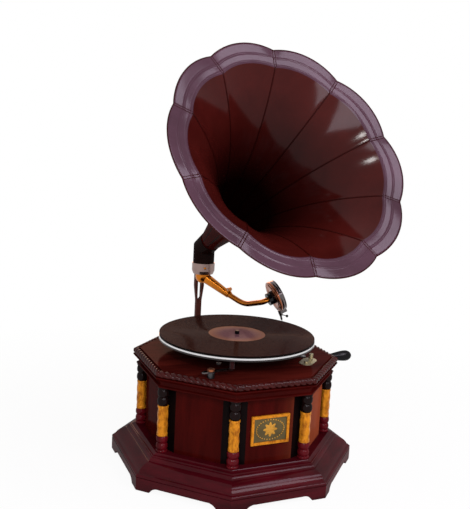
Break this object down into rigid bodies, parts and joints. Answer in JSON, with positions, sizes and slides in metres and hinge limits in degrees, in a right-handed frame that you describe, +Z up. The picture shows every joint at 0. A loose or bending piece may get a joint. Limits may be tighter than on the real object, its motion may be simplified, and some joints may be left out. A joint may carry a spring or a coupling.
{
  "type": "gramophone",
  "caption": "Wind-up table gramophone with an eight-sided wooden cabinet, spring motor, turntable, hinged tone arm with soundbox, and a large swivelling petal horn.",
  "frame": {"origin": "on the floor under the turntable spindle, at the centre of the eight-sided base", "axes": "+Z up along the spindle, -Y out of the front panel, +X out of the crank's panel"},
  "size_m": [0.4006, 0.4014, 0.6567],
  "materials": {
    "mahogany": "gloss varnish",
    "ebonised_wood": "gloss black-brown varnish",
    "gilt": "gilded relief",
    "plaque_paint": "olive enamel",
    "motor_steel": "machined",
    "motor_brass": "machined",
    "arm_brass": "polished",
    "nickel": "polished plate",
    "ring_metal": "satin",
    "felt": "felt",
    "record_shellac": "grooved gloss",
    "black_lacquer": "gloss black lacquer",
    "bracket_iron": "brown paint",
    "horn_enamel": "gloss maroon enamel",
    "black_rubber": "matt",
    "diaphragm_sheet": "thin sheet"
  },
  "bodies": {
    "cabinet": {"plinth_skirt": "mahogany", "plinth_moulding": "mahogany", "bottom_board": "mahogany", "side_panels": "mahogany", "crank_panel": "mahogany", "corner_posts": "ebonised_wood", "corner_columns": "ebonised_wood", "column_sleeves": "gilt", "cornice_moulding": "mahogany", "rope_beading": "mahogany", "top_deck": "mahogany", "plaque_frame": "gilt", "plaque_field": "plaque_paint", "motor_plate": "motor_steel", "motor_base_plate": "motor_steel", "motor_pillars": "motor_steel", "motor_screws": "motor_steel", "crank_bearing": "motor_steel", "governor_brackets": "motor_steel", "crank_escutcheon": "motor_brass", "brake_pivot": "motor_brass", "speed_plate": "motor_brass", "back_bracket": "bracket_iron", "support_ring": "ring_metal", "bracket_screws": "motor_steel"},
    "turntable": {"turntable_spindle": "motor_steel", "spindle_pinion": "motor_brass", "governor_drive_wheel": "motor_brass", "platter": "nickel", "platter_felt": "felt", "record": "record_shellac"},
    "barrel": {"spring_barrel": "motor_brass", "barrel_cover": "motor_steel", "mainspring": "motor_steel"},
    "arbor": {"barrel_arbor": "motor_steel", "winding_wheel": "motor_brass"},
    "crank": {"crank_shaft": "motor_steel", "winding_pinion": "motor_brass", "crank_arm": "motor_steel"},
    "grip": {"crank_grip": "black_lacquer"},
    "governor": {"governor_shaft": "motor_steel", "governor_disc": "motor_brass", "governor_springs": "motor_steel", "governor_weights": "motor_brass"},
    "brake": {"brake_lever": "motor_steel", "brake_pad": "felt"},
    "regulator": {"speed_lever": "motor_brass", "speed_knob": "motor_brass"},
    "horn": {"horn_elbow": "horn_enamel", "horn_ferrule": "horn_enamel", "horn_petals": "horn_enamel"},
    "arm": {"tone_arm": "arm_brass", "arm_collar": "motor_steel", "gooseneck_pin": "motor_steel"},
    "soundbox": {"gooseneck": "arm_brass", "soundbox_collar": "black_rubber", "soundbox_case": "nickel", "diaphragm": "diaphragm_sheet", "stylus_bar": "nickel", "needle": "motor_steel"}
  },
  "joints": [
    {"name": "turntable_spin", "type": "hinge", "parent": "cabinet", "child": "turntable", "pos_m": [0, 0, 0.19], "axis": [0, 0, 1], "continuous": true},
    {"name": "barrel_spin", "type": "hinge", "parent": "cabinet", "child": "barrel", "pos_m": [0.05625, 0, 0.14], "axis": [0, 0, 1], "continuous": true},
    {"name": "governor_spin", "type": "hinge", "parent": "cabinet", "child": "governor", "pos_m": [-0.0242, 0, 0.10351], "axis": [0, 1, 0], "continuous": true},
    {"name": "crank_wind", "type": "hinge", "parent": "cabinet", "child": "crank", "pos_m": [0.15, 0, 0.1], "axis": [1, 0, 0], "continuous": true},
    {"name": "arbor_spin", "type": "hinge", "parent": "cabinet", "child": "arbor", "pos_m": [0.05625, 0, 0.1], "axis": [0, 0, 1], "continuous": true},
    {"name": "grip_spin", "type": "hinge", "parent": "crank", "child": "grip", "pos_m": [0.19, 0, 0.1526], "axis": [1, 0, 0], "continuous": true},
    {"name": "brake_release", "type": "hinge", "parent": "cabinet", "child": "brake", "pos_m": [-0.086, -0.11, 0.183], "axis": [0, 0, 1], "range_deg": [0, 15]},
    {"name": "speed_set", "type": "hinge", "parent": "cabinet", "child": "regulator", "pos_m": [0.084, -0.083, 0.175], "axis": [0, 0, 1], "range_deg": [-20, 20]},
    {"name": "horn_swivel", "type": "hinge", "parent": "cabinet", "child": "horn", "pos_m": [0, 0.166, 0.29], "axis": [0, 0, 1], "range_deg": [-90, 90]},
    {"name": "tone_arm_swing", "type": "hinge", "parent": "cabinet", "child": "arm", "pos_m": [0, 0.166, 0.28], "axis": [0, 0, 1], "range_deg": [-25, 25]},
    {"name": "gooseneck_lift", "type": "hinge", "parent": "arm", "child": "soundbox", "pos_m": [0.03449, 0.12264, 0.2499], "axis": [-0.7826, -0.6225, 0], "range_deg": [0, 45]}
  ],
  "couplings": [
    {"joint": "barrel_spin", "follows": "turntable_spin", "ratio": -0.25},
    {"joint": "governor_spin", "follows": "turntable_spin", "ratio": 12},
    {"joint": "arbor_spin", "follows": "crank_wind", "ratio": -0.5}
  ]
}
